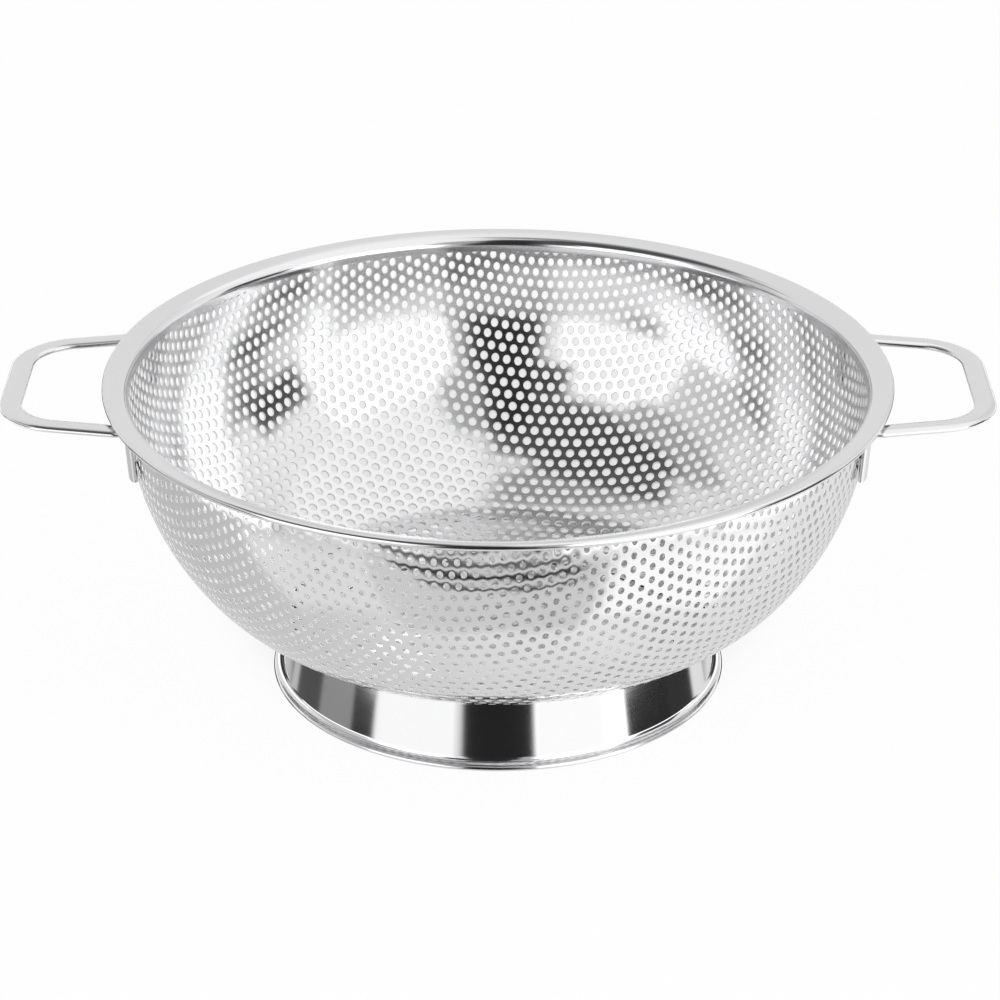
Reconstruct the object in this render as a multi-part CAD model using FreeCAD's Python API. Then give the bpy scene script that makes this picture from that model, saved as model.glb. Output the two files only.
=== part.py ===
import FreeCAD, Part
import math
import os

# A footed steel colander: a drawn perforated bowl, a folded rim band round its edge,
# two flattened-wire handles on its wall and a flared foot ring under it.
# Origin: centre of the foot on the table. Z is up, the handles lie along X. Millimetres.

# Bowl sheet
bowl_sheet = 0.6
wall_radius = 134.45          # outside, where the wall stands upright
wall_arc_radius = 97.0        # outside, upright wall curving inward
wall_arc_angle = 40.0         # degrees of the wall arc, from upright
floor_arc_radius = 70.0       # outside, tighter curve into the flat floor
floor_height = 22.95          # underside of the flat floor above the table
upright_run = 4.7             # straight wall above the curve

# Perforation, laid out flat in staggered rows and carried up the wall along its curve
hole_diameter = 3.5
hole_pitch = 5.32             # centre to centre
hole_stride = 3               # every third hole of every third row is cut
row_turn = -9.0               # degrees, rows against the X axis
hole_margin = 0.8             # plain metal between the top holes and the rim band

# Rim band, a strip folded over the bowl's edge
rim_sheet = 0.5
rim_flange = 8.05             # reach of the flange beyond the bowl's wall
rim_skirt = 4.5               # depth of the skirt inside the bowl, below the bend
rim_rise = 12.0               # degrees, the flange climbs outward
rim_bend_inside = 1.5         # inside radius of the rolled bend over the bowl's edge
rim_fold_inside = 0.6         # inside radius of the folded outer edge
seat_gap = 0.05               # between pieces that are pressed together

# Handles, flattened wire
wire_width = 8.0
wire_thickness = 2.8
handle_reach = 43.65          # outside of the grip bar, from the bowl's wall
handle_drop = 0.1             # between the rim band's lip and the wire under it
leg_azimuth = 17.3            # degrees from the X axis
leg_length = 18.7
leg_bend_inside = 1.0
leg_run = 0.5                 # straight run between the leg's bend and the turn of the arm
arm_turn_inside = 1.0
arm_taper = 11.0              # degrees, each arm leans toward the other
grip_corner_inside = 17.0

# Foot ring
foot_sheet = 0.6
foot_seat_out = 15.4          # from the edge of the flat floor to the middle of the seat
foot_ledge = 2.5              # from the middle of the seat in to the ledge's edge
foot_shoulder_out = 3.17      # from the middle of the seat out to the shoulder's corner
foot_shoulder_radius = 2.0
foot_lean = 9.5               # degrees from upright
foot_flare_radius = 3.0
hem_width = 3.5               # from the foot's leaning wall to the outside of the hem
hem_fold_inside = 0.3
hem_return = 2.4              # flat that the foot stands on

fold_relief = 0.001           # short straight run between the two arcs of a fold
origin = FreeCAD.Vector(0, 0, 0)
up = FreeCAD.Vector(0, 0, 1)


def point(radius, height):
    return FreeCAD.Vector(radius, 0, height)


def on_circle(centre, radius, degrees):
    angle = math.radians(degrees)
    return centre + point(radius * math.cos(angle), radius * math.sin(angle))


def tangent(degrees):
    return math.tan(math.radians(degrees))


def cosine(degrees):
    return math.cos(math.radians(degrees))


def line(first, last):
    return Part.LineSegment(first, last).toShape()


def arc(centre, radius, first, last):
    middle = on_circle(centre, radius, (first + last) / 2)
    return Part.Arc(on_circle(centre, radius, first), middle, on_circle(centre, radius, last)).toShape()


def turned(shape, degrees):
    """A copy of a shape, turned about the Z axis."""
    copy = shape.copy()
    copy.rotate(origin, up, degrees)
    return copy


def rounded_path(corners, radii):
    """Straight runs through the corners, with a tangent arc at each inner corner."""
    edges = []
    start = corners[0]
    for before, corner, after, radius in zip(corners, corners[1:], corners[2:], radii):
        back = (before - corner).normalize()
        ahead = (after - corner).normalize()
        half = back.getAngle(ahead) / 2
        reach = radius / math.tan(half)
        middle = corner + (back + ahead).normalize() * (radius / math.sin(half) - radius)
        edges.append(line(start, corner + back * reach))
        start = corner + ahead * reach
        edges.append(Part.Arc(corner + back * reach, middle, start).toShape())
    edges.append(line(start, corners[-1]))
    return Part.Wire(edges)


def folded_strip(corners, radii, sheet):
    """A round-edged strip of sheet along a path in the XZ plane, turned about the Z axis."""
    outline = rounded_path(corners, radii).makeOffset2D(sheet / 2, 0, False, False, False)
    return Part.Face(outline).revolve(origin, up, 360)


# The bowl's outer curve: flat floor, floor arc, wall arc, upright wall
arc_step = wall_arc_radius - floor_arc_radius
floor_radius = wall_radius - wall_arc_radius + arc_step * cosine(wall_arc_angle)
floor_centre = point(floor_radius, floor_height + floor_arc_radius)
wall_centre = on_circle(floor_centre, arc_step, 180 - wall_arc_angle)
upright_height = wall_centre.z
bowl_edge_height = upright_height + upright_run
floor_arc_length = floor_arc_radius * math.radians(90 - wall_arc_angle)
wall_arc_length = wall_arc_radius * math.radians(wall_arc_angle)
curve_length = floor_radius + floor_arc_length + wall_arc_length

# Middle of the rim band's sheet: its bend is centred level with the bowl's edge
rim_bend_radius = rim_bend_inside + rim_sheet / 2
rim_fold_radius = rim_fold_inside + rim_sheet / 2
rim_fold_drop = 2 * rim_fold_radius / cosine(rim_rise)
rim_skirt_radius = wall_radius - bowl_sheet - seat_gap - rim_sheet / 2
rim_lip_radius = wall_radius + seat_gap + rim_sheet / 2
rim_outer_radius = wall_radius + rim_flange - rim_sheet / 2
rim_bend_height = bowl_edge_height + rim_bend_radius * (1 / cosine(rim_rise) - tangent(rim_rise))
rim_skirt_height = rim_bend_height - rim_skirt


def bowl_curve(length):
    """Point and outward normal on the bowl's outside, at a length along the curve from its centre."""
    on_floor_arc = length - floor_radius
    on_wall_arc = on_floor_arc - floor_arc_length
    if on_floor_arc < 0:
        return point(length, floor_height), point(0, -1)
    if length > curve_length:
        return point(wall_radius, upright_height + length - curve_length), point(1, 0)
    if on_wall_arc < 0:
        angle = math.degrees(on_floor_arc / floor_arc_radius) - 90
        return on_circle(floor_centre, floor_arc_radius, angle), on_circle(origin, 1, angle)
    angle = math.degrees(on_wall_arc / wall_arc_radius) - wall_arc_angle
    return on_circle(wall_centre, wall_arc_radius, angle), on_circle(origin, 1, angle)


def bowl_profile(inset):
    """The bowl's curve, moved inward by inset, from the axis to the bowl's edge."""
    floor = floor_height + inset
    side = wall_radius - inset
    return [line(point(0, floor), point(floor_radius, floor)),
            arc(floor_centre, floor_arc_radius - inset, -90, -wall_arc_angle),
            arc(wall_centre, wall_arc_radius - inset, -wall_arc_angle, 0),
            line(point(side, upright_height), point(side, bowl_edge_height))]


def hole_punches():
    """A punch for each hole in one sixth of the bowl, between two rows through its centre."""
    spacing = hole_pitch * hole_stride
    top = rim_skirt_height - hole_margin - hole_diameter / 2
    limit = curve_length + top - upright_height
    count = int(limit / spacing) + 1
    punches = []
    for row in range(2 * count):
        for step in range(count):
            x = spacing * (step + row / 2)
            y = spacing * row * math.sin(math.radians(60))
            length = math.hypot(x, y)
            if length < limit:
                place, normal = bowl_curve(length)
                punch = Part.makeCylinder(hole_diameter / 2, 3 * bowl_sheet,
                                          place + normal * bowl_sheet, normal * -1)
                punches.append(turned(punch, math.degrees(math.atan2(y, x))))
    return punches


def make_bowl():
    edge = line(point(wall_radius, bowl_edge_height), point(wall_radius - bowl_sheet, bowl_edge_height))
    axis = line(point(0, floor_height + bowl_sheet), point(0, floor_height))
    outline = Part.Wire(Part.__sortEdges__(bowl_profile(0) + [edge] + bowl_profile(bowl_sheet) + [axis]))
    sixth = Part.Face(outline).revolve(origin, up, 60).toNurbs()
    sixth = sixth.cut(Part.makeCompound(hole_punches()))
    bowl = sixth.multiFuse([turned(sixth, 60 * place) for place in range(1, 6)])
    return turned(bowl, row_turn)


def flange(radius):
    """Middle of the rim band's climbing flange."""
    return point(radius, rim_bend_height + (radius - rim_skirt_radius) * tangent(rim_rise))


def make_rim_band():
    drop = point(0, rim_fold_drop)
    corners = [point(rim_skirt_radius, rim_skirt_height), flange(rim_skirt_radius), flange(rim_outer_radius),
               flange(rim_outer_radius) - drop, flange(rim_lip_radius) - drop]
    fold = rim_fold_radius - fold_relief
    return folded_strip(corners, [rim_bend_radius, fold, fold], rim_sheet)


def stadium(centre, across, normal):
    """Outline of the flattened wire: flat sides and half-round edges."""
    side = across * (wire_width - wire_thickness) / 2
    edge = across * wire_width / 2
    half = normal * wire_thickness / 2
    first = Part.Arc(centre + side - half, centre + edge, centre + side + half).toShape()
    last = Part.Arc(centre - side + half, centre - edge, centre - side - half).toShape()
    return Part.Wire([first, line(centre + side + half, centre - side + half), last,
                      line(centre - side - half, centre + side - half)])


def make_handle():
    """Wire from one leg on the wall, out under the rim, round the grip and back to the other leg."""
    lip_underside = flange(rim_lip_radius).z - rim_fold_drop - rim_sheet / 2 / cosine(rim_rise)
    height = lip_underside - handle_drop - wire_thickness / 2

    # Each leg touches the bowl's wall at the middle of its length
    seat_below = upright_height - (height - leg_length / 2)
    lean = math.degrees(math.asin(seat_below / wall_arc_radius))
    seat = on_circle(wall_centre, wall_arc_radius + seat_gap + wire_thickness / 2, -lean)
    climb = on_circle(origin, 1, 90 - lean)
    leg_end = seat - climb * (leg_length / 2)
    leg_top = seat + climb * ((height - seat.z) / climb.z)

    leg_bend_radius = leg_bend_inside + wire_thickness / 2
    arm_turn_radius = arm_turn_inside + wire_width / 2
    grip_corner_radius = grip_corner_inside + wire_width / 2
    bend_reach = leg_bend_radius * tangent((90 - lean) / 2)
    turn_reach = arm_turn_radius * tangent((leg_azimuth + arm_taper) / 2)
    arm_start = leg_top + point(bend_reach + leg_run + turn_reach, 0)

    to_leg = FreeCAD.Rotation(up, leg_azimuth)
    leg_end, leg_top, arm_start = [to_leg.multVec(place) for place in (leg_end, leg_top, arm_start)]
    grip = wall_radius + handle_reach - wire_width / 2
    corner = FreeCAD.Vector(grip, arm_start.y - (grip - arm_start.x) * tangent(arm_taper), height)
    half = [leg_end, leg_top, arm_start, corner]
    mirrored = [FreeCAD.Vector(place.x, -place.y, place.z) for place in reversed(half)]
    radii = [leg_bend_radius, arm_turn_radius, grip_corner_radius]
    path = rounded_path(half + mirrored, radii + radii[::-1])

    across = to_leg.multVec(FreeCAD.Vector(0, 1, 0))
    wire = stadium(leg_end, across, to_leg.multVec(on_circle(origin, 1, -lean)))
    handle = path.makePipeShell([wire], True, False)
    print("handle volume over section times length:", handle.Volume / (Part.Face(wire).Area * path.Length))
    return handle


def make_foot_ring():
    """Ledge under the bowl's curve, shoulder, leaning wall, flare and a hem folded under."""
    seat_angle = math.degrees(math.asin(foot_seat_out / floor_arc_radius)) - 90
    seat = on_circle(floor_centre, floor_arc_radius + seat_gap + foot_sheet / 2, seat_angle)
    along = on_circle(origin, 1, seat_angle + 90)
    shoulder = seat + along * foot_shoulder_out
    hem_fold_radius = hem_fold_inside + foot_sheet / 2
    stand = foot_sheet / 2
    hem_top = stand + 2 * hem_fold_radius
    waist = point(shoulder.x + (shoulder.z - hem_top) * tangent(foot_lean), hem_top)
    outer = waist.x + hem_width - foot_sheet / 2
    corners = [seat - along * foot_ledge, shoulder, waist, point(outer, hem_top), point(outer, stand),
               point(outer - hem_fold_radius - hem_return, stand)]
    fold = hem_fold_radius - fold_relief
    return folded_strip(corners, [foot_shoulder_radius, foot_flare_radius, fold, fold], foot_sheet)


right_handle = make_handle()
pieces = {"bowl": make_bowl(), "rim_band": make_rim_band(), "right_handle": right_handle,
          "left_handle": turned(right_handle, 180), "foot_ring": make_foot_ring()}
os.makedirs("parts", exist_ok=True)
for name, shape in pieces.items():
    shape.exportStep("parts/" + name + ".step")
    print(name, len(shape.Solids), "solid, valid:", shape.isValid(), round(shape.Volume), "mm3")
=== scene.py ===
# %% [markdown]
# # A perforated steel colander
# The colander is five pieces of stainless steel: a bowl drawn from a punched sheet, a rim band folded
# over its edge, two handles of flattened wire and a foot ring with a hem. The frame holds each of them
# at its real size. This lesson makes the same pieces again as smooth meshes, with every hole of the
# real sheet, and gives them their polish.

# %% Load the frame
import math
import bmesh
import bpy
from mathutils import Matrix, Vector


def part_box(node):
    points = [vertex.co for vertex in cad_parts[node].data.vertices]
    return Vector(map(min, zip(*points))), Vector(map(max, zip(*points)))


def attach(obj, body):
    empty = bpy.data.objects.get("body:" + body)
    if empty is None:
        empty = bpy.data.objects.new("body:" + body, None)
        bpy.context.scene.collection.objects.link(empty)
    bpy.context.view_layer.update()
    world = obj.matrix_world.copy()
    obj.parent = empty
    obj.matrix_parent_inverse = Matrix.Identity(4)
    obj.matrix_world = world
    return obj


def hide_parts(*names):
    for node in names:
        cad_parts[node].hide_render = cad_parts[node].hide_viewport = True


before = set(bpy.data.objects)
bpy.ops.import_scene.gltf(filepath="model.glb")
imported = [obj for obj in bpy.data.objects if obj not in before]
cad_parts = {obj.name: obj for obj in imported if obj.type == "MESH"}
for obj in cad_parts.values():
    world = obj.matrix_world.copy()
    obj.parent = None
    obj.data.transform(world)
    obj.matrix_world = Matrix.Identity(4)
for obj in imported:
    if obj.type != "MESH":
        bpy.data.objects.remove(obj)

mm = 0.001
scene = bpy.context.scene
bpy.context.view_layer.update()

# %% [markdown]
# ## Sizes
# The bowl's outside is a flat floor, a tight arc, a wider arc and an upright edge. These are the same
# sizes as in the frame, so each new piece lies where the one that it replaces lies. Heights and widths
# that the frame already knows are read from it, and the rest follows from a few radii.

# %% Driving sizes
bowl_low, bowl_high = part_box("bowl")
bowl_sheet = 0.6 * mm
wall_radius = bowl_high.x
wall_arc_radius = 97.0 * mm
wall_arc_angle = math.radians(40)
floor_arc_radius = 70.0 * mm
floor_height = bowl_low.z
bowl_edge = bowl_high.z
seat_gap = 0.05 * mm          # between pieces that are welded together

arc_step = wall_arc_radius - floor_arc_radius
floor_radius = wall_radius - wall_arc_radius + arc_step * math.cos(wall_arc_angle)
upright = floor_height + floor_arc_radius + arc_step * math.sin(wall_arc_angle)
floor_arc_length = floor_arc_radius * (math.pi / 2 - wall_arc_angle)
wall_arc_length = wall_arc_radius * wall_arc_angle
print("wall radius", round(wall_radius / mm, 2), "upright from", round(upright / mm, 2))

# %% [markdown]
# ## Camera
# The photograph looks along +Y, about 26 degrees down, from about 1.26 m. The lens follows from how
# wide the rim is in the picture. A constraint could aim the camera, but a distance and a tilt can be
# measured on the rim's ellipse, so they are written down as they are.

# %% Camera
aim_height = 66.49 * mm
camera_distance = 1261.8 * mm
camera_tilt = math.radians(25.696)
camera_aside = 0.72 * mm      # the object stands a hair left of the middle

camera = bpy.data.objects.new("camera", bpy.data.cameras.new("camera"))
camera.data.sensor_width = 36
camera.data.lens = 123.48
camera.location = (camera_aside, -camera_distance * math.cos(camera_tilt),
                   aim_height + camera_distance * math.sin(camera_tilt))
camera.rotation_euler = (math.pi / 2 - camera_tilt, 0, 0)
scene.collection.objects.link(camera)
scene.camera = camera
scene.view_settings.view_transform = "Standard"
print("camera at", [round(v / mm) for v in camera.location])

# %% [markdown]
# ## Helpers
# Every piece ends the same way: its bmesh becomes an object at the origin, it rides on the one body of
# this part, and the piece of the frame that it stands for is hidden. One function adds a shader node, and
# three small ones pick parts out of a bmesh.


# %% Shader helpers
def linear(hex_colour):
    """An sRGB hex colour as the linear values that shaders use."""
    values = [int(hex_colour[i:i + 2], 16) / 255 for i in (1, 3, 5)]
    return [v / 12.92 if v <= 0.04045 else ((v + 0.055) / 1.055) ** 2.4 for v in values] + [1.0]


def add(tree, kind, settings=None, **links):
    """Adds one node: settings are its attributes or input values, links its inputs' sources."""
    node = tree.nodes.new(kind)
    for name, value in (settings or {}).items():
        if isinstance(name, int) or name in node.inputs:
            node.inputs[name].default_value = value
        else:
            setattr(node, name, value)
    for name, source in links.items():
        key = int(name[1:]) if name[0] == "_" else name.replace("_", " ")
        tree.links.new(source, node.inputs[key])
    return node


print("middle grey is", round(linear("#808080")[0], 3), "in linear light")


# %% Mesh helpers
def everything(bm):
    """All the parts of a bmesh, as most operators want them."""
    return bm.verts[:] + bm.edges[:] + bm.faces[:]


def only(kind, geom):
    """The parts of one kind, such as BMVert, in what an operator returned."""
    return [part for part in geom if isinstance(part, kind)]


def verts_of(edges):
    """The ends of some edges, each once."""
    return list(dict.fromkeys(vert for edge in edges for vert in edge.verts))


fine_reach = 0.001 * mm       # points of a path or a cut that lie closer than this are one
sharp_angle = math.radians(20)
print("edges stay sharp from", round(math.degrees(sharp_angle)), "degrees")


def finish_piece(bm, name, node, materials):
    """Makes an object from a bmesh, smooth but for its sharp edges, in the place of a frame node."""
    for face in bm.faces:
        face.smooth = True
    for edge in bm.edges:
        edge.smooth = len(edge.link_faces) == 2 and edge.calc_face_angle(0) < sharp_angle
    mesh = bpy.data.meshes.new(name)
    bm.to_mesh(mesh)
    bm.free()
    for material in materials:
        mesh.materials.append(material)
    piece = bpy.data.objects.new(name, mesh)
    scene.collection.objects.link(piece)
    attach(piece, "root")
    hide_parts(node)
    triangles = sum(len(p.vertices) - 2 for p in mesh.polygons)
    print(name, "has", triangles, "triangles")
    return piece


# %% [markdown]
# ## Stainless steel
# The whole colander is polished stainless steel: a metal with a grey base colour and little roughness.
# Only what it mirrors gives it light and shade. Fine wheel marks run round the axis, so the roughness
# changes slightly along rings about Z. The cut walls of the punched holes are left rough, so they scatter
# light, and their colour is painted paler than the sheet's, a painted brightening, so they stay pale
# between dark mirrored shapes.

# %% Steel
steel_colour = "#DCDCDD"
# paler than the sheet's steel: a painted brightening of the hole walls, whose roughness is real
painted_pale_cut_colour = "#F0F0F0"
mark_share = 0.3              # how much the wheel marks change the roughness


def stainless(name, colour, roughness, ring_width):
    """Polished stainless steel, with faint rings left by the polishing wheel."""
    material = bpy.data.materials.new(name)
    material.use_nodes = True
    tree = material.node_tree
    shader = tree.nodes["Principled BSDF"]
    shader.inputs["Base Color"].default_value = linear(colour)
    shader.inputs["Metallic"].default_value = 1.0
    place = add(tree, "ShaderNodeTexCoord").outputs["Object"]
    axes = add(tree, "ShaderNodeSeparateXYZ", _0=place)
    flat = add(tree, "ShaderNodeCombineXYZ", X=axes.outputs["X"], Y=axes.outputs["Y"])
    radius = add(tree, "ShaderNodeVectorMath", {"operation": "LENGTH"}, _0=flat.outputs[0])
    ring = add(tree, "ShaderNodeCombineXYZ", X=radius.outputs["Value"], Z=axes.outputs["Z"])
    grain = add(tree, "ShaderNodeTexNoise", {"Scale": 1 / ring_width, "Detail": 2.0},
                Vector=ring.outputs[0])
    limits = {"To Min": roughness * (1 - mark_share), "To Max": roughness * (1 + mark_share)}
    shine = add(tree, "ShaderNodeMapRange", limits, Value=grain.outputs[0])
    tree.links.new(shine.outputs[0], shader.inputs["Roughness"])
    return material


bowl_inside = stainless("stainless_sheet_inside_polished", steel_colour, 0.13, 0.8 * mm)
bowl_outside = stainless("stainless_sheet_outside_polished", steel_colour, 0.07, 0.8 * mm)
punched_edge = stainless("stainless_punched_edge", painted_pale_cut_colour, 0.75, 0.8 * mm)
rim_steel = stainless("stainless_strip_satin", steel_colour, 0.12, 0.5 * mm)
wire_steel = stainless("stainless_wire_satin", steel_colour, 0.16, 0.5 * mm)
foot_steel = stainless("stainless_ring_mirror_polished", steel_colour, 0.10, 0.5 * mm)
print("steel reflects", round(linear(steel_colour)[0], 2), "of the light")

# %% [markdown]
# ## The punched sheet
# The real bowl starts as a flat sheet, punched with holes in staggered rows, and is then drawn down into
# a bowl. The holes could be cut out of a bowl with booleans, but thousands of cuts are slow and leave
# ragged faces. So the mesh is made as the sheet is. One cell is a hexagon of sheet with a hole: its outer
# face, the tapered wall of the hole and its inner face.

# %% One cell
hole_pitch = 5.32 * mm
hole_inside = 1.85 * mm       # a punched hole opens towards the inside of the bowl
hole_outside = 1.48 * mm
lip_dip = 0.03 * mm           # how far the punch drags the outer lip along
hole_sides = 12
hexagon_sides = 6
hexagon_radius = hole_pitch / math.sqrt(3)


def cell_loop(bm, sides, radius, height):
    """A level loop of hole_sides edges: a circle, or a hexagon with its sides divided."""
    before = set(bm.edges)
    made = bmesh.ops.create_circle(bm, segments=sides, radius=radius)["verts"]
    bmesh.ops.translate(bm, verts=made, vec=(0, 0, height))
    if sides < hole_sides:
        drawn = [edge for edge in bm.edges if edge not in before]
        bmesh.ops.subdivide_edges(bm, edges=drawn, cuts=hole_sides // sides - 1)
    return [edge for edge in bm.edges if edge not in before]


def hexagon_cell():
    """One hole in a hexagon of sheet. The inner face is bridged while it stands too high, because
    loops in one plane can be joined with a twist."""
    bm = bmesh.new()
    loops = [cell_loop(bm, hexagon_sides, hexagon_radius, 0),
             cell_loop(bm, hole_sides, hole_outside, lip_dip),
             cell_loop(bm, hole_sides, hole_inside, bowl_sheet),
             cell_loop(bm, hexagon_sides, hexagon_radius, 2 * bowl_sheet)]
    for first, second in zip(loops, loops[1:]):
        bmesh.ops.bridge_loops(bm, edges=first + second)
    bmesh.ops.translate(bm, verts=verts_of(loops[-1]), vec=(0, 0, -bowl_sheet))
    return bm


cell = hexagon_cell()
print("faces in a cell:", len(cell.faces))
cell.free()

# %% [markdown]
# Cells are copied along a row, and rows are copied up the sheet, each second row half a step aside. An
# array modifier could repeat them too, but every copy is bent in its own way later, so they are made as
# points of one bmesh.

# %% Rows of cells
row_height = hole_pitch * math.sin(math.pi / 3)
sheet_radius = floor_radius + floor_arc_length + wall_arc_length + bowl_edge - upright


def copy_by(bm, steps):
    """Copies everything in a bmesh once by each of the steps."""
    pattern = everything(bm)
    for step in steps:
        copied = bmesh.ops.duplicate(bm, geom=pattern)["geom"]
        bmesh.ops.translate(bm, verts=only(bmesh.types.BMVert, copied), vec=step)


def punched_sheet():
    """A flat sheet of cells, centred on a hole, a little larger than the bowl."""
    bm = hexagon_cell()
    rows = 2 * (int(sheet_radius / row_height / 2) + 1)
    cells = int(sheet_radius / hole_pitch) + 2
    along = Vector((hole_pitch, 0, 0))
    copy_by(bm, [along * place for place in range(1, 2 * cells + 1)])
    bmesh.ops.translate(bm, verts=bm.verts, vec=(-cells * hole_pitch, 0, 0))
    copy_by(bm, [Vector((place % 2 * hole_pitch / 2, place * row_height, 0))
                 for place in range(-rows, rows + 1) if place])
    return bm


sheet = punched_sheet()
print("faces in the flat sheet:", len(sheet.faces))

# %% [markdown]
# A press draws the sheet down. Here each point is carried along the bowl's curve: its distance from the
# middle of the sheet becomes a length along the curve. So the rows stay evenly spaced up the wall, while
# the holes draw narrower, as the photograph shows. A lattice could bend the sheet as well, but it would
# not keep these lengths.

# %% Drawing the sheet into a bowl
row_turn = math.radians(-9)   # the rows don't run square to the handles


def bowl_curve(length):
    """Radius, height and inward normal on the bowl's outside, at a length along its curve."""
    along = length - floor_radius
    if along < 0:
        return length, floor_height, 0.0, 1.0
    if along < floor_arc_length:
        angle = along / floor_arc_radius - math.pi / 2
        return (floor_radius + floor_arc_radius * math.cos(angle),
                floor_height + floor_arc_radius * (1 + math.sin(angle)), -math.cos(angle), -math.sin(angle))
    along = along - floor_arc_length
    if along < wall_arc_length:
        angle = along / wall_arc_radius - wall_arc_angle
        return (wall_radius - wall_arc_radius * (1 - math.cos(angle)),
                upright + wall_arc_radius * math.sin(angle), -math.cos(angle), -math.sin(angle))
    return wall_radius, upright + along - wall_arc_length, -1.0, 0.0


def draw_into_bowl(bm):
    """Carries each point of the flat sheet along the bowl's curve."""
    for vert in bm.verts:
        length = math.hypot(vert.co.x, vert.co.y)
        azimuth = math.atan2(vert.co.y, vert.co.x) + row_turn
        radius, height, inward, upward = bowl_curve(length)
        radius += inward * vert.co.z
        vert.co = (radius * math.cos(azimuth), radius * math.sin(azimuth), height + upward * vert.co.z)


print("the sheet is", round(2 * sheet_radius / mm), "mm across before it is drawn")

# %% [markdown]
# A single mesh of all the holes would be very large, so the bowl is made in three rings that meet along
# the edges of whole cells. Each face of the flat sheet is marked with the ring of its cell.

# %% Marking the rings
ring_names = ["bowl_floor", "bowl_lower_wall", "bowl_upper_wall"]
ring_limits = [0.56 * sheet_radius, 0.80 * sheet_radius, sheet_radius + hole_pitch]    # about equal areas
beyond = len(ring_names)


def cell_middle(face):
    """Middle of the cell that a face of the flat sheet belongs to."""
    middle = face.calc_center_median()
    row = round(middle.y / row_height)
    places = []
    for near in (row - 1, row, row + 1):
        shift = near % 2 * hole_pitch / 2
        column = round((middle.x - shift) / hole_pitch)
        places.append(Vector((column * hole_pitch + shift, near * row_height, 0)))
    return min(places, key=lambda place: (place - middle).length)


for face in sheet.faces:
    reach = cell_middle(face).length
    face.material_index = sum(reach >= limit for limit in ring_limits)
bmesh.ops.delete(sheet, geom=[f for f in sheet.faces if f.material_index == beyond], context="FACES")
print("faces inside the bowl's edge:", len(sheet.faces))

# %% [markdown]
# Then each ring is taken out, closed along its borders so that it is solid, and drawn into the bowl. The
# highest ring is cut level under the rim.

# %% Bowl rings
weld_reach = 0.01 * mm        # joins the borders of neighbouring cells
roll_room = 1.2 * mm          # the rim's roll hides the bowl's edge, which ends below it
level_enough = 0.9            # faces of the flat sheet whose normal is less upright are cut edges
inner_side, outer_side, hole_wall = range(3)
bowl_finishes = [bowl_inside, bowl_outside, punched_edge]


def close_border(bm):
    """Joins the two sides of the sheet along the borders of a ring."""
    border = [e for e in bm.edges if e.is_boundary and e.verts[0].co.z < bowl_sheet / 2]
    made = bmesh.ops.extrude_edge_only(bm, edges=border)["geom"]
    bmesh.ops.translate(bm, verts=only(bmesh.types.BMVert, made), vec=(0, 0, bowl_sheet))
    bmesh.ops.remove_doubles(bm, verts=bm.verts, dist=weld_reach)
    bmesh.ops.recalc_face_normals(bm, faces=bm.faces)


def finish_of(face):
    """The place in bowl_finishes of what a face of the flat sheet shows."""
    if abs(face.normal.z) < level_enough:
        return hole_wall
    return outer_side if face.normal.z < 0 else inner_side


def trim_edge(bm):
    """Cuts the wall level under the rim's roll and closes the cut."""
    cut = bmesh.ops.bisect_plane(bm, geom=everything(bm), dist=fine_reach, clear_outer=True,
                                 plane_co=(0, 0, bowl_edge - roll_room), plane_no=(0, 0, 1))
    bmesh.ops.holes_fill(bm, edges=only(bmesh.types.BMEdge, cut["geom_cut"]), sides=0)


def bowl_ring(ring, name):
    """One ring of cells, closed along its borders and drawn into the bowl."""
    bm = sheet.copy()
    bmesh.ops.delete(bm, geom=[f for f in bm.faces if f.material_index != ring], context="FACES")
    bmesh.ops.remove_doubles(bm, verts=bm.verts, dist=weld_reach)
    close_border(bm)
    for face in bm.faces:
        face.material_index = finish_of(face)
    draw_into_bowl(bm)
    if name == ring_names[-1]:
        trim_edge(bm)
    print(name, "has", sum(not edge.is_manifold for edge in bm.edges), "open edges")
    return finish_piece(bm, name, "bowl", bowl_finishes)


for ring, name in enumerate(ring_names):
    bowl_ring(ring, name)
sheet.free()

# %% [markdown]
# ## Folded rings
# The rim band and the foot ring are strips of sheet, folded along a path and closed to a ring. They could
# be swept along a circle, but a path whose corners are rounded with a vertex bevel keeps each bend's real
# radius. The path is spun about the axis, and a Solidify modifier gives the strip its thickness last.

# %% Folding tools
corner_steps = 8
ring_steps = 240
fold_relief = 0.001 * mm      # keeps the two arcs of a fold from meeting in one point
print("a ring has", ring_steps, "steps and a bend", corner_steps)


def round_corner(bm, vert, radius):
    """Rounds one corner of a path of edges to an arc."""
    back, ahead = [(edge.other_vert(vert).co - vert.co) for edge in vert.link_edges]
    reach = radius / math.tan(back.angle(ahead) / 2)
    bmesh.ops.bevel(bm, geom=[vert], offset=reach, offset_type="OFFSET", segments=corner_steps,
                    profile=0.5, affect="VERTICES", material=-1)


def folded_ring(corners, radii):
    """A strip of sheet along a path of corners, spun to a ring."""
    bm = bmesh.new()
    path = [bm.verts.new((radius, 0, height)) for radius, height in corners]
    for first, second in zip(path, path[1:]):
        bm.edges.new((first, second))
    for vert, radius in zip(path[1:-1], radii):
        round_corner(bm, vert, radius)
    bmesh.ops.spin(bm, geom=bm.verts[:] + bm.edges[:], cent=(0, 0, 0), axis=(0, 0, 1),
                   angle=2 * math.pi, steps=ring_steps, use_merge=True)
    bmesh.ops.remove_doubles(bm, verts=bm.verts, dist=fine_reach)
    bmesh.ops.recalc_face_normals(bm, faces=bm.faces)
    return bm


def give_thickness(piece, sheet_thickness):
    """Gives a strip its sheet thickness, half to each side of its path."""
    wall = piece.modifiers.new("sheet", "SOLIDIFY")
    wall.thickness = sheet_thickness
    wall.offset = 0.0
    wall.use_even_offset = True
    print(piece.name, "is", round(sheet_thickness / mm, 2), "mm thick")


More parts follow.
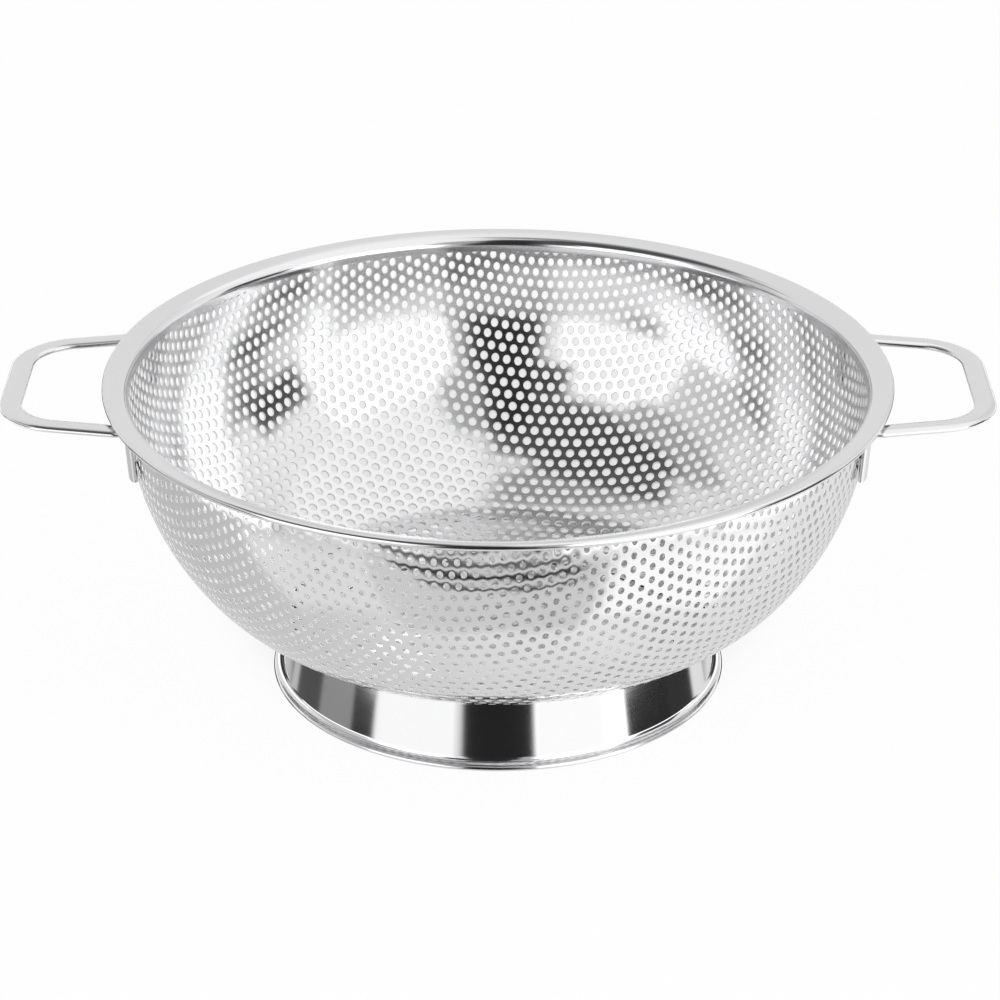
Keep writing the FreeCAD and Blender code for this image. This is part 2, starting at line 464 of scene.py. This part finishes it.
# %% [markdown]
# ## Rim band
# The rim band hides the bowl's cut edge. It has a skirt inside the bowl, a soft roll over the edge, a
# flange that rises outward and an outer edge that is folded back under the flange. The roll is wider than
# the frame's bend, because the dark band along the back of the photograph's rim is that wide.

# %% Rim band
rim_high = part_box("rim_band")[1]
rim_sheet = 0.5 * mm
rim_rise = math.radians(12)
rim_seat_bend = 1.75 * mm     # the frame's bend, which sets how high the flange lies
rim_roll = 3.0 * mm           # the softer roll that shows in the photograph
rim_fold = 0.85 * mm
rim_skirt = 4.5 * mm
skirt_radius = wall_radius - bowl_sheet - seat_gap - rim_sheet / 2
lip_radius = wall_radius + seat_gap + rim_sheet / 2
rim_radius = rim_high.x - rim_sheet / 2
bend_height = bowl_edge + rim_seat_bend * (1 / math.cos(rim_rise) - math.tan(rim_rise))
fold_drop = 2 * rim_fold / math.cos(rim_rise)


def flange(radius, drop=0.0):
    """A corner of the path on the rising flange, or below it by a drop."""
    return radius, bend_height + (radius - skirt_radius) * math.tan(rim_rise) - drop


rim = folded_ring([(skirt_radius, bend_height - rim_skirt), flange(skirt_radius), flange(rim_radius),
                   flange(rim_radius, fold_drop), flange(lip_radius, fold_drop)],
                  [rim_roll, rim_fold - fold_relief, rim_fold - fold_relief])
rim_band = finish_piece(rim, "rim", "rim_band", [rim_steel])
give_thickness(rim_band, rim_sheet)

# %% [markdown]
# ## Foot ring
# The colander stands on a ring with a narrow ledge under the bowl, a shoulder, a leaning wall and a flare
# that ends in a folded hem. The ledge follows the bowl's tight arc, so its corners are worked out from
# that arc and not from heights of their own.

# %% Foot ring
foot_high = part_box("foot_ring")[1]
foot_sheet = 0.6 * mm
foot_seat_out = 15.4 * mm
foot_ledge = 2.5 * mm
shoulder_out = 3.17 * mm
hem_fold = 0.6 * mm
hem_return = 2.4 * mm
hem_width = 3.5 * mm
foot_shoulder = 2.0 * mm
foot_flare = 3.0 * mm
hem_top = foot_sheet / 2 + 2 * hem_fold
foot_outer = foot_high.x - foot_sheet / 2

seat_slope = math.asin(foot_seat_out / floor_arc_radius)
seat_reach = floor_arc_radius + seat_gap + foot_sheet / 2
seat = Vector((floor_radius + seat_reach * math.sin(seat_slope),
               floor_height + floor_arc_radius - seat_reach * math.cos(seat_slope)))
along_seat = Vector((math.cos(seat_slope), math.sin(seat_slope)))
waist = foot_outer + foot_sheet / 2 - hem_width
foot = folded_ring([seat - along_seat * foot_ledge, seat + along_seat * shoulder_out, (waist, hem_top),
                    (foot_outer, hem_top), (foot_outer, foot_sheet / 2),
                    (foot_outer - hem_fold - hem_return, foot_sheet / 2)],
                   [foot_shoulder, foot_flare, hem_fold - fold_relief, hem_fold - fold_relief])
foot_ring = finish_piece(foot, "foot", "foot_ring", [foot_steel])
give_thickness(foot_ring, foot_sheet)

# %% [markdown]
# ## Handles
# Each handle is one flattened wire: two legs welded to the wall, two level arms that draw together and a
# grip between round corners. A curve with a bevel would be quicker, but its section can twist. So a
# section of the wire starts at the end of a leg, is extruded along each straight run and spun round each
# bend, as a wire bender works. Half a handle is then mirrored.

# %% Handle sizes
grip_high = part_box("right_handle")[1]
wire_width = 8.0 * mm
wire_thickness = 2.8 * mm
leg_azimuth = math.radians(17.3)
leg_length = 18.7 * mm
leg_bend = 2.4 * mm
leg_run = 0.5 * mm
arm_turn = 5.0 * mm
arm_taper = math.radians(11)
grip_corner = 21.0 * mm
grip = grip_high.x - wire_width / 2
wire_height = grip_high.z - wire_thickness / 2

lean = math.asin((upright - wire_height + leg_length / 2) / wall_arc_radius)
seat_out = wall_arc_radius + seat_gap + wire_thickness / 2
leg_seat = Vector((wall_radius - wall_arc_radius + seat_out * math.cos(lean), 0,
                   upright - seat_out * math.sin(lean)))
climb = Vector((math.sin(lean), 0, math.cos(lean)))
off_wall = Vector((math.cos(lean), 0, -math.sin(lean)))
print("the legs lean", round(math.degrees(lean), 1), "degrees")

# %% Wire tools
wire_sides = 40
wire_fullness = 2.3           # 2 is an ellipse


def wire_section(bm, centre, across, normal):
    """Flattened wire: an oval between an ellipse and a rectangle, as rolling leaves it."""
    made = bmesh.ops.create_circle(bm, segments=wire_sides, radius=1)["verts"]
    for vert in made:
        side, height = [math.copysign(abs(v) ** (2 / wire_fullness), v) for v in vert.co.xy]
        vert.co = centre + across * side * wire_width / 2 + normal * height * wire_thickness / 2
    return bm.edges[:]


def run(bm, loop, vector):
    """Carries a section straight on; returns the new section."""
    made = bmesh.ops.extrude_edge_only(bm, edges=loop)["geom"]
    verts = only(bmesh.types.BMVert, made)
    bmesh.ops.translate(bm, verts=verts, vec=vector)
    return [edge for edge in only(bmesh.types.BMEdge, made) if all(vert in verts for vert in edge.verts)]


def bend(bm, loop, centre, axis, angle, steps):
    """Carries a section round a bend; returns the new section."""
    section = verts_of(loop) + loop
    turned = bmesh.ops.spin(bm, geom=section, cent=centre, axis=axis, angle=angle, steps=steps)
    return only(bmesh.types.BMEdge, turned["geom_last"])


print("one section of wire has", wire_sides, "sides")

# %% [markdown]
# The leg climbs the wall in the plane of X and Z and bends outward to level. There it is turned about the
# axis to its place beside the handle's middle.

# %% Leg
leg_bend_steps = 10
leg_rise = (wire_height - leg_seat.z) / climb.z
leg_top = leg_seat + climb * leg_rise
bend_reach = leg_bend * math.tan((math.pi / 2 - lean) / 2)
to_leg = Matrix.Rotation(leg_azimuth, 3, "Z")


def leg(bm):
    """A leg from its end on the wall to where the arm starts; returns its last section."""
    loop = wire_section(bm, leg_seat - climb * leg_length / 2, Vector((0, 1, 0)), off_wall)
    bmesh.ops.contextual_create(bm, geom=loop)
    loop = run(bm, loop, climb * (leg_length / 2 + leg_rise - bend_reach))
    centre = leg_top - climb * bend_reach + off_wall * leg_bend
    loop = bend(bm, loop, centre, (0, 1, 0), math.pi / 2 - lean, leg_bend_steps)
    loop = run(bm, loop, Vector((leg_run, 0, 0)))
    bmesh.ops.rotate(bm, verts=bm.verts, cent=(0, 0, 0), matrix=to_leg)
    return loop


print("the wire rises", round(leg_rise / mm, 1), "mm above the middle of a leg")

# %% [markdown]
# The arm turns inward, runs to the corner and goes round it. The grip ends in the middle, where its
# mirrored half meets it.

# %% Arm and grip
arm_turn_steps = 8
grip_corner_steps = 24
turn = leg_azimuth + arm_taper
turn_reach = arm_turn * math.tan(turn / 2)
corner_turn = math.pi / 2 - arm_taper
corner_reach = grip_corner * math.tan(corner_turn / 2)
outward = Vector((math.cos(leg_azimuth), math.sin(leg_azimuth), 0))
inward = Vector((math.sin(leg_azimuth), -math.cos(leg_azimuth), 0))
arm_way = Vector((math.cos(arm_taper), -math.sin(arm_taper), 0))
arm_aside = Vector((-math.sin(arm_taper), -math.cos(arm_taper), 0))
arm_start = to_leg @ (leg_top + Vector((bend_reach + leg_run + turn_reach, 0, 0)))
arm_length = (grip - arm_start.x) / math.cos(arm_taper)
corner = arm_start + arm_way * arm_length


def arm_and_grip(bm, loop):
    """The arm, the corner and half of the grip, from the last section of a leg."""
    turn_centre = arm_start - outward * turn_reach + inward * arm_turn
    loop = bend(bm, loop, turn_centre, (0, 0, 1), -turn, arm_turn_steps)
    loop = run(bm, loop, arm_way * (arm_length - turn_reach - corner_reach))
    corner_centre = corner - arm_way * corner_reach + arm_aside * grip_corner
    loop = bend(bm, loop, corner_centre, (0, 0, 1), -corner_turn, grip_corner_steps)
    run(bm, loop, Vector((0, -(corner.y - corner_reach), 0)))


def handle(side, node):
    """A whole handle, turned to its side of the bowl."""
    bm = bmesh.new()
    arm_and_grip(bm, leg(bm))
    bmesh.ops.mirror(bm, geom=everything(bm), axis="Y", merge_dist=fine_reach)
    bmesh.ops.rotate(bm, verts=bm.verts, cent=(0, 0, 0), matrix=Matrix.Rotation(side, 3, "Z"))
    bmesh.ops.recalc_face_normals(bm, faces=bm.faces)
    return finish_piece(bm, node + "_wire", node, [wire_steel])


handle(0.0, "right_handle")
handle(math.pi, "left_handle")

# %% [markdown]
# ## Floor
# The colander stands on pale paper. The paper in view is plain white, so the camera sees mostly a
# white glow there, and the rest is real paper that keeps the shadow. Under the object and behind it the
# glow is weaker, a painted shade, so the holes that look out on it are light grey and still show on white
# steel.


# %% Floor
def studio_piece(bm, name, material):
    """Makes an object of the studio, which is no part of the colander."""
    mesh = bpy.data.meshes.new(name)
    bm.to_mesh(mesh)
    bm.free()
    mesh.materials.append(material)
    piece = bpy.data.objects.new(name, mesh)
    scene.collection.objects.link(piece)
    return piece


paper_radius = 4.0
clear_share = 0.96            # how much of the paper is a white glow to the camera
# Under the object and behind it the white glow is weaker: a painted shade on the paper, placed by
# shade_middle, shade_squeeze and shade_radius.
shaded_share = 0.3            # the same under the object and behind it
shade_middle = (0, foot_high.y, 0)
shade_squeeze = (1, 0.55, 1)  # makes the shaded patch longer than it is wide
shade_radius = wall_radius
shade_core = 0.6 * shade_radius


def studio_paper(colour):
    """Pale paper, near white for the camera but with a painted shade under the object and behind it."""
    material = bpy.data.materials.new("studio_paper")
    material.use_nodes = True
    tree = material.node_tree
    paper = tree.nodes["Principled BSDF"]
    paper.inputs["Base Color"].default_value = linear(colour)
    paper.inputs["Roughness"].default_value = 0.9
    place = add(tree, "ShaderNodeTexCoord").outputs["Object"]
    drawn_in = add(tree, "ShaderNodeVectorMath", {"operation": "MULTIPLY", 1: shade_squeeze}, _0=place)
    away = add(tree, "ShaderNodeVectorMath", {"operation": "DISTANCE", 1: shade_middle},
               _0=drawn_in.outputs[0])
    fade = {"interpolation_type": "SMOOTHSTEP", "From Min": shade_core, "From Max": shade_radius,
            "To Min": shaded_share, "To Max": clear_share}
    clear = add(tree, "ShaderNodeMapRange", fade, Value=away.outputs["Value"])
    ray = add(tree, "ShaderNodeLightPath").outputs["Is Camera Ray"]
    share = add(tree, "ShaderNodeMath", {"operation": "MULTIPLY"}, _0=ray, _1=clear.outputs[0])
    white = add(tree, "ShaderNodeEmission", {"Color": (1, 1, 1, 1), "Strength": 1.0})
    mix = add(tree, "ShaderNodeMixShader", None, _0=share.outputs[0], _1=paper.outputs[0],
              _2=white.outputs[0])
    tree.links.new(mix.outputs[0], tree.nodes["Material Output"].inputs["Surface"])
    return material


paper_sheet = bmesh.new()
bmesh.ops.create_circle(paper_sheet, cap_ends=True, segments=64, radius=paper_radius)
floor = studio_piece(paper_sheet, "studio_floor", studio_paper("#F4F4F4"))
floor.visible_glossy = False
print("paper", 2 * paper_radius, "m across")

# %% [markdown]
# ## Room
# Polished steel shows the room around it. The world is that room: brighter toward a window on the right
# and plain white to the camera. A picture of a real room could stand here, but a soft change from one
# side to the other is enough behind the cards that come next.

# %% Room
room_level = 0.92             # what the steel mirrors on average
room_swing = 0.31             # brighter toward the window side, darker away from it
room_light = 0.7              # what lights the paper
window_azimuth = math.radians(50)

world = bpy.data.worlds.new("studio")
scene.world = world
world.use_nodes = True
sky = world.node_tree
backdrop = sky.nodes["Background"]
backdrop.inputs["Color"].default_value = (1, 1, 1, 1)
toward = add(sky, "ShaderNodeTexCoord").outputs["Generated"]
window = (math.sin(window_azimuth), -math.cos(window_azimuth), 0)
facing = add(sky, "ShaderNodeVectorMath", {"operation": "DOT_PRODUCT", 1: window}, _0=toward)
swing = {"From Min": -1.0, "To Min": room_level - room_swing, "To Max": room_level + room_swing}
mirrored = add(sky, "ShaderNodeMapRange", swing, Value=facing.outputs["Value"])
ray = add(sky, "ShaderNodeLightPath")
plain = add(sky, "ShaderNodeMapRange", {"To Min": room_light, "To Max": 1.0},
            Value=ray.outputs["Is Camera Ray"])
level = add(sky, "ShaderNodeMix", None, _0=ray.outputs["Is Glossy Ray"], _2=plain.outputs[0],
            _3=mirrored.outputs[0])
sky.links.new(level.outputs[0], backdrop.inputs["Strength"])
print("room from", round(room_level - room_swing, 2), "to", round(room_level + room_swing, 2))

# %% [markdown]
# ## Cards round the object
# A product photographer hangs white and black cards round polished steel, because they draw its shapes.
# Each card here is a patch of a dome that glows a little or much, and only reflections see it. It fades
# along its border through an attribute of its points, so the mirrored edges stay soft. Lamps could do
# the same for the white ones, but they can't make anything darker.

# %% Card tools
front = -math.pi / 2
dome_radius = 1.5
dome_step = 0.01              # each new card hangs this much nearer than the one before
bar_distance = 1.034
cards = []
print("the cards hang on a dome of", dome_radius, "m")


def hang_card(bm, name, brightness):
    """Hangs a card that only reflections see. It fades out along its border."""
    material = bpy.data.materials.new(name)
    material.use_nodes = True
    tree = material.node_tree
    glow = add(tree, "ShaderNodeEmission", {"Color": (1, 1, 1, 1), "Strength": brightness})
    clear = add(tree, "ShaderNodeBsdfTransparent")
    share = add(tree, "ShaderNodeAttribute", {"attribute_name": "share"})
    mix = add(tree, "ShaderNodeMixShader", None, _0=share.outputs["Fac"], _1=clear.outputs[0],
              _2=glow.outputs[0])
    tree.links.new(mix.outputs[0], tree.nodes["Material Output"].inputs["Surface"])
    share_layer = bm.verts.layers.float.new("share")
    for vert in bm.verts:
        vert[share_layer] = 0.0 if vert.is_boundary else 1.0
    card = studio_piece(bm, name, material)
    card.visible_camera = False
    card.visible_diffuse = False
    card.visible_transmission = False
    card.visible_shadow = False
    cards.append(card)


def panel(name, brightness, first, last, low, high, fade=3.0, distance=dome_radius):
    """A patch of a dome between two azimuths from the camera's side and two elevations, in degrees.
    It fades over about as many degrees as fade says."""
    bm = bmesh.new()
    bm.verts.new((distance - dome_step * len(cards), 0, 0))
    aside = Matrix.Rotation(front + math.radians(first), 3, "Z")
    bmesh.ops.rotate(bm, verts=bm.verts, cent=(0, 0, 0),
                     matrix=aside @ Matrix.Rotation(math.radians(-low), 3, "Y"))
    bmesh.ops.spin(bm, geom=bm.verts[:], cent=(0, 0, 0), axis=aside @ Vector((0, -1, 0)),
                   angle=math.radians(high - low), steps=max(2, round((high - low) / fade)))
    bmesh.ops.spin(bm, geom=bm.verts[:] + bm.edges[:], cent=(0, 0, 0), axis=(0, 0, 1),
                   angle=math.radians(last - first), steps=max(2, round((last - first) / fade)))
    hang_card(bm, name, brightness)


def bar(name, brightness, left, right, low, high):
    """A straight bar across the front, below the table's height, between two sides and two heights."""
    bm = bmesh.new()
    bmesh.ops.create_grid(bm, x_segments=12, y_segments=4, size=0.5)
    place = Matrix.Translation(((left + right) / 2, -bar_distance, (low + high) / 2))
    size = Matrix.Diagonal((right - left, high - low, 1, 1))
    bmesh.ops.transform(bm, verts=bm.verts, matrix=place @ Matrix.Rotation(math.pi / 2, 4, "X") @ size)
    hang_card(bm, name, brightness)


# %% [markdown]
# Behind the object hang a wide pale backdrop and two dark strips at table height, which blacken the ends
# of the foot. One small bright patch hangs close by, where rays leave through the holes of the back wall.

# %% Backdrop
backdrop_distance = 0.37
panel("backdrop_left", 0.94, 150, 262, 10, 56, 6)
panel("backdrop_near", 1.6, 100, 260, 11, 23, 3, backdrop_distance)
panel("horizon_left", 0.05, -174, -130, -20.5, 12)
panel("horizon_right", 0.05, 132, 174, -20.5, 12)
print("cards so far:", len(cards))

# %% [markdown]
# Two soft boxes beside the camera make the white shapes inside the bowl and on the foot. The right one is
# the stronger, and both are dimmer below. Two patches close to the sides stand for the lit paper that
# the inside sees through the holes of the front wall.

# %% Soft boxes
paper_distance = 0.44
panel("soft_box_left", 1.75, -68.5, -20.5, -20.5, 44.5)
panel("soft_box_right", 3.1, 17, 71, -20.5, 44.5)
panel("soft_box_left_low", 1.32, -68.5, -20.5, -20.5, 8)
panel("soft_box_right_low", 1.35, 17, 58, -20.5, 8)
panel("paper_left", 1.7, -106, -58, -4, 6, 2, paper_distance)
panel("paper_right", 1.7, 58, 106, -4, 6, 2, paper_distance)
print("cards so far:", len(cards))

# %% [markdown]
# The ceiling is dark on the left and bright on the right. The table in front is pale, and the outside of
# the bowl mirrors it.

# %% Ceiling and table
panel("ceiling_bright", 1.22, 25, 182, 43, 87)
panel("ceiling_dark", 0.09, -112, 8, 46, 85)
panel("ceiling_dark_left", 0.12, -141, -108, 53, 85)
panel("ceiling_dark_back", 0.36, -184, -139, 57, 84)
panel("table_left", 0.98, -86, -36, -52, -20, 6)
panel("table_right", 1.33, 34, 92, -52, -20, 6)
panel("camera_table", 0.82, -42, 36, -60, -18, 6)
print("cards so far:", len(cards))

# %% [markdown]
# The dark side where the camera stands makes the black shape in the middle of the bowl and of the foot,
# with a grey border on its right.

# %% Camera side
panel("camera_side", 0.50, 0, 21, -4, 40, 5)
panel("camera_side_high", 0.48, 0, 29, 34, 71, 5)
panel("camera_flag", 0.02, -17.5, 12.5, -4, 40)
panel("camera_flag_high", 0.02, -17.5, 9, 34, 70)
panel("camera_flag_low", 0.02, -19, 19, -20.5, 4)
panel("camera_flag_side", 0.04, -31, -14, 31, 50)
print("cards so far:", len(cards))

# %% [markdown]
# Narrow dark flags at the sides draw the other dark bands of the foot and of the inner wall. Three straight
# bars, low in front, are the wavy dark lines under the rim: the wall bends them, and the dragged lips
# of the holes make them waver.

# %% Flags and bars
panel("flag_left_high", 0.46, -122, -56, 36, 52)
panel("flag_left_middle", 0.34, -112, -76, -20.5, 5)
panel("flag_left_near", 0.05, -79, -62, -20.5, 5)
panel("flag_left_far", 0.10, -125, -99, -20.5, 5)
panel("flag_right", 0.03, 64, 103, -20.5, 6)
panel("flag_right_high", 0.06, 72, 102, 4, 31)
panel("flag_right_low", 0.04, 93, 118, -20.5, 3)
bar("table_edge", 0.12, -0.80, 0.45, -0.465, -0.380)
bar("table_rail", 0.01, -0.85, 0.55, -0.602, -0.508)
bar("table_foot", 0.01, -0.90, 0.70, -0.740, -0.670)
print("cards so far:", len(cards))

# %% [markdown]
# Under the foot ring the paper lies in shade. The floor is hidden from reflections in this studio, so one
# more dark card lies under the foot: painted shade that stands for that shaded paper.

# %% Shade under the foot
shade_size = 0.7 * foot_high.x
shade = bmesh.new()
bmesh.ops.create_grid(shade, x_segments=12, y_segments=12, size=shade_size)
bmesh.ops.translate(shade, verts=shade.verts, vec=(0, 0, seat_gap))
# a dark card of painted shade, where the paper under the foot lies in shade
hang_card(shade, "shade_under_foot", 0.12)
print("cards in all:", len(cards))

# %% [markdown]
# ## Lamps
# Two large lamps light the paper from both sides of the camera, so the shadow is soft and pale. Steel
# doesn't mirror them, because the soft boxes already stand where they are.

# %% Lamps
lamp_distance = 1.6
lamp_aim = Vector((0, 0, 0.08))


def soft_lamp(name, azimuth, height, width, length, brightness):
    """A lamp panel that faces the object and lights the paper round it."""
    lamp = bpy.data.lights.new(name, "AREA")
    lamp.shape = "RECTANGLE"
    lamp.size = width
    lamp.size_y = length
    lamp.energy = brightness * math.pi * width * length
    stand = bpy.data.objects.new(name, lamp)
    aside = front + math.radians(azimuth)
    stand.location = (lamp_distance * math.cos(aside), lamp_distance * math.sin(aside), height)
    stand.rotation_euler = (lamp_aim - stand.location).to_track_quat("-Z", "Y").to_euler()
    stand.visible_glossy = False
    scene.collection.objects.link(stand)
    print(name, "has", round(lamp.energy, 1), "W")


soft_lamp("lamp_left", -46, 0.8, 1.1, 1.2, 1.5)
soft_lamp("lamp_right", 46, 0.8, 1.1, 1.2, 1.5)
